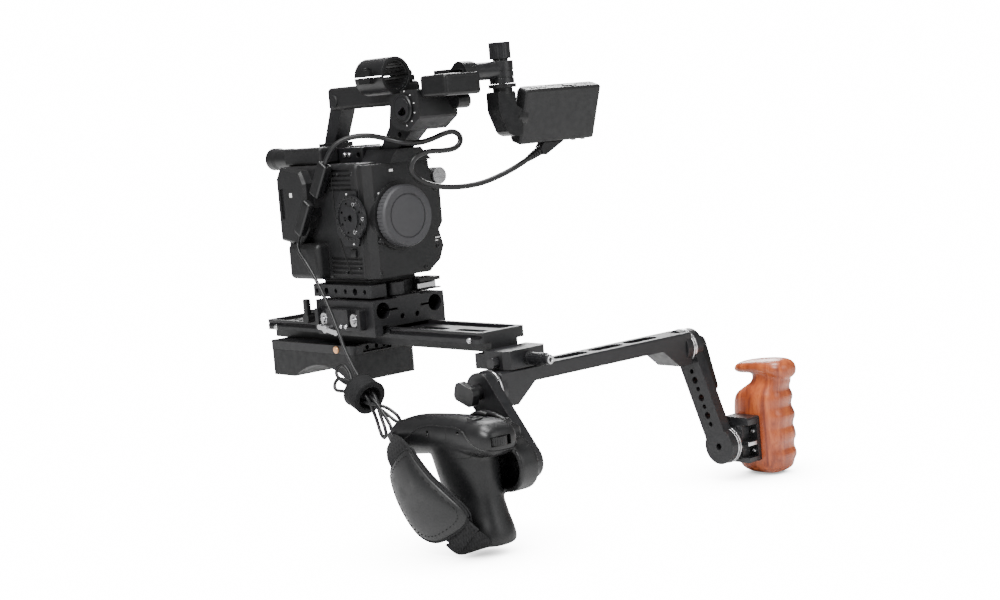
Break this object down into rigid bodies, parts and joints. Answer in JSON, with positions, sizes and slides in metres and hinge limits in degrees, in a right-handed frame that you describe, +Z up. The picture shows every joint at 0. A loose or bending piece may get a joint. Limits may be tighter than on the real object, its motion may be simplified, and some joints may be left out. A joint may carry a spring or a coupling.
{
  "type": "cinema camera rig",
  "caption": "Shoulder-mount cinema camera rig: dovetail plate, pad, rod riser, camera, top handle with monitor, and a crossbar with a hand grip and a wooden grip.",
  "frame": {"origin": "mouth of the tripod thread in the middle of the dovetail plate's underside", "axes": "+Z up, -Y the way the camera looks, +X the camera operator's left"},
  "size_m": [0.4045, 0.4142, 0.4135],
  "materials": {
    "black_anodised": "satin, black anodised",
    "camera_shell": "fine matt texture",
    "black_plastic": "satin",
    "cap_plastic": "matt",
    "pad_rubber": "matt",
    "grip_rubber": "matt",
    "bright_metal": "machined",
    "dark_steel": "black, satin",
    "amber_button": "satin",
    "screen_glass": "gloss",
    "cable_rubber": "satin",
    "tie_fabric": "napped",
    "strap_fabric": "woven",
    "pad_skin": "soft, smooth",
    "carved_wood": "oiled",
    "circuit": "lacquered"
  },
  "bodies": {
    "base": {"dovetail_plate": "black_anodised", "plate_screws": "bright_metal", "pad_plate": "black_anodised", "shoulder_pad": "pad_rubber", "front_clamp": "black_anodised"},
    "pad_release": {"pad_button": "amber_button"},
    "clamp_knob": {"front_knob": "black_anodised"},
    "bar_screw": {"bar_lock_screw": "dark_steel"},
    "carriage": {"riser_block": "black_anodised", "carriage_fasteners": "bright_metal", "receiver_plate": "black_anodised", "camera_plate": "black_anodised", "camera_body": "camera_shell", "front_panel": "camera_shell", "sensor_board": "circuit", "side_rosette": "dark_steel", "cable_plugs": "black_plastic", "battery_pack": "black_plastic", "finder_housing": "camera_shell", "top_plate": "black_anodised", "handle_post": "black_anodised", "handle_bar": "camera_shell", "audio_module": "camera_shell", "mic_holder": "black_plastic", "lcd_bracket": "black_plastic", "lcd_cable": "cable_rubber", "grip_cable": "cable_rubber", "cable_hank": "cable_rubber", "cable_tie": "tie_fabric"},
    "rod_lever": {"rod_lock_lever": "black_plastic"},
    "plate_lever": {"plate_lock_lever": "bright_metal"},
    "riser_knob": {"side_knob": "dark_steel"},
    "receiver_lever": {"release_lever": "bright_metal"},
    "cap": {"body_cap": "cap_plastic"},
    "lens_release": {"lens_button": "black_plastic"},
    "camera_button": {"side_button": "black_plastic"},
    "filter_control": {"filter_knob": "bright_metal"},
    "eyepiece": {"finder_eyepiece": "grip_rubber"},
    "audio_control": {"audio_dial": "black_plastic"},
    "holder_top": {"mic_clamp": "black_plastic"},
    "monitor_arm": {"lcd_arm": "dark_steel"},
    "column_knob": {"lcd_knob": "dark_steel"},
    "monitor_hinge": {"lcd_hinge": "black_plastic"},
    "monitor": {"monitor_case": "camera_shell", "monitor_screen": "screen_glass", "monitor_plug": "cable_rubber"},
    "monitor_key": {"monitor_button": "black_plastic"},
    "bar": {"crossbar": "black_anodised", "crossbar_rosettes": "bright_metal"},
    "right_arm": {"grip_arm": "black_anodised"},
    "right_lever": {"arm_lever": "black_plastic"},
    "right_grip": {"hand_grip": "grip_rubber", "strap_pad": "pad_skin", "strap_webbing": "strap_fabric"},
    "right_dial": {"grip_dial": "black_plastic"},
    "right_button": {"record_button": "bright_metal"},
    "left_arm": {"drop_arm": "black_anodised"},
    "left_lever": {"drop_lever": "black_plastic"},
    "left_grip": {"wood_grip": "carved_wood", "grip_bracket": "dark_steel"}
  },
  "joints": [
    {"name": "pad_release_press", "type": "slide", "parent": "base", "child": "pad_release", "axis": [1, 0, 0], "range_m": [0, 0.002], "stiffness_N_per_m": 800},
    {"name": "clamp_knob_turn", "type": "hinge", "parent": "base", "child": "clamp_knob", "pos_m": [0.002, -0.195, -0.006], "axis": [0, 1, 0], "continuous": true},
    {"name": "bar_screw_turn", "type": "hinge", "parent": "base", "child": "bar_screw", "pos_m": [-0.026, -0.175, -0.0065], "axis": [1, 0, 0], "continuous": true},
    {"name": "carriage_slide", "type": "slide", "parent": "base", "child": "carriage", "axis": [0, 1, 0], "range_m": [-0.06, 0.06], "deforming": ["grip_cable", "cable_hank", "cable_tie"]},
    {"name": "rod_lever_turn", "type": "hinge", "parent": "carriage", "child": "rod_lever", "pos_m": [-0.045, 0.0575, 0.026], "axis": [1, 0, 0], "range_deg": [-75, 0]},
    {"name": "plate_lever_turn", "type": "hinge", "parent": "carriage", "child": "plate_lever", "pos_m": [-0.05, 0.0275, 0.0175], "axis": [1, 0, 0], "range_deg": [-70, 20]},
    {"name": "riser_knob_turn", "type": "hinge", "parent": "carriage", "child": "riser_knob", "pos_m": [0.044, -0.022, 0.03], "axis": [1, 0, 0], "continuous": true},
    {"name": "receiver_lever_turn", "type": "hinge", "parent": "carriage", "child": "receiver_lever", "pos_m": [0.035, -0.0266, 0.05], "axis": [0, 0, 1], "range_deg": [0, 60]},
    {"name": "cap_twist", "type": "hinge", "parent": "carriage", "child": "cap", "pos_m": [0, -0.038, 0.116], "axis": [0, 1, 0], "range_deg": [0, 60]},
    {"name": "lens_release_press", "type": "slide", "parent": "carriage", "child": "lens_release", "axis": [0, 1, 0], "range_m": [0, 0.001], "stiffness_N_per_m": 500},
    {"name": "camera_button_press", "type": "slide", "parent": "carriage", "child": "camera_button", "axis": [1, 0, 0], "range_m": [0, 0.001], "stiffness_N_per_m": 500},
    {"name": "filter_turn", "type": "hinge", "parent": "carriage", "child": "filter_control", "pos_m": [0.048, -0.03, 0.148], "axis": [0, 1, 0], "continuous": true},
    {"name": "eyepiece_extend", "type": "slide", "parent": "carriage", "child": "eyepiece", "axis": [0, 1, 0], "range_m": [0, 0.006]},
    {"name": "audio_dial_turn", "type": "hinge", "parent": "carriage", "child": "audio_control", "pos_m": [-0.012, -0.064, 0.211], "axis": [1, 0, 0], "range_deg": [-120, 120]},
    {"name": "mic_clamp_open", "type": "hinge", "parent": "carriage", "child": "holder_top", "pos_m": [0.013, -0.0345, 0.2415], "axis": [0, 1, 0], "range_deg": [0, 90]},
    {"name": "monitor_roll", "type": "hinge", "parent": "carriage", "child": "monitor_arm", "pos_m": [0.04, -0.104, 0.238], "axis": [1, 0, 0], "range_deg": [-40, 60]},
    {"name": "column_knob_turn", "type": "hinge", "parent": "monitor_arm", "child": "column_knob", "pos_m": [0.0715, -0.104, 0.255], "axis": [0, 0, 1], "continuous": true},
    {"name": "monitor_swivel", "type": "hinge", "parent": "monitor_arm", "child": "monitor_hinge", "pos_m": [0.0715, -0.104, 0.222], "axis": [0, 0, 1], "range_deg": [-90, 60]},
    {"name": "monitor_tilt", "type": "hinge", "parent": "monitor_hinge", "child": "monitor", "pos_m": [0.086, -0.104, 0.196], "axis": [1, 0, 0], "range_deg": [-60, 70], "deforming": ["lcd_cable"]},
    {"name": "monitor_key_press", "type": "slide", "parent": "monitor", "child": "monitor_key", "axis": [0, 0.309, -0.9511], "range_m": [0, 0.0005], "stiffness_N_per_m": 500},
    {"name": "bar_slide", "type": "slide", "parent": "base", "child": "bar", "axis": [1, 0, 0], "range_m": [-0.016, 0.001]},
    {"name": "right_arm_turn", "type": "hinge", "parent": "bar", "child": "right_arm", "pos_m": [-0.04, -0.174, -0.028], "axis": [1, 0, 0], "range_deg": [-50, 25]},
    {"name": "right_lever_turn", "type": "hinge", "parent": "right_arm", "child": "right_lever", "pos_m": [-0.052, -0.174, -0.028], "axis": [1, 0, 0], "range_deg": [-60, 60]},
    {"name": "right_grip_turn", "type": "hinge", "parent": "right_arm", "child": "right_grip", "pos_m": [-0.048, -0.222, -0.083], "axis": [1, 0, 0], "range_deg": [-25, 2]},
    {"name": "right_dial_turn", "type": "hinge", "parent": "right_grip", "child": "right_dial", "pos_m": [-0.082, -0.233, -0.0565], "axis": [0, 0, 1], "continuous": true},
    {"name": "right_button_press", "type": "slide", "parent": "right_grip", "child": "right_button", "axis": [0, 0, -1], "range_m": [0, 0.001], "stiffness_N_per_m": 500},
    {"name": "left_arm_turn", "type": "hinge", "parent": "bar", "child": "left_arm", "pos_m": [0.211, -0.174, -0.028], "axis": [1, 0, 0], "range_deg": [-60, 45]},
    {"name": "left_lever_turn", "type": "hinge", "parent": "left_arm", "child": "left_lever", "pos_m": [0.224, -0.174, -0.028], "axis": [1, 0, 0], "range_deg": [-30, 60]},
    {"name": "left_grip_turn", "type": "hinge", "parent": "left_arm", "child": "left_grip", "pos_m": [0.224, -0.21, -0.119], "axis": [1, 0, 0], "range_deg": [-60, 60]}
  ]
}
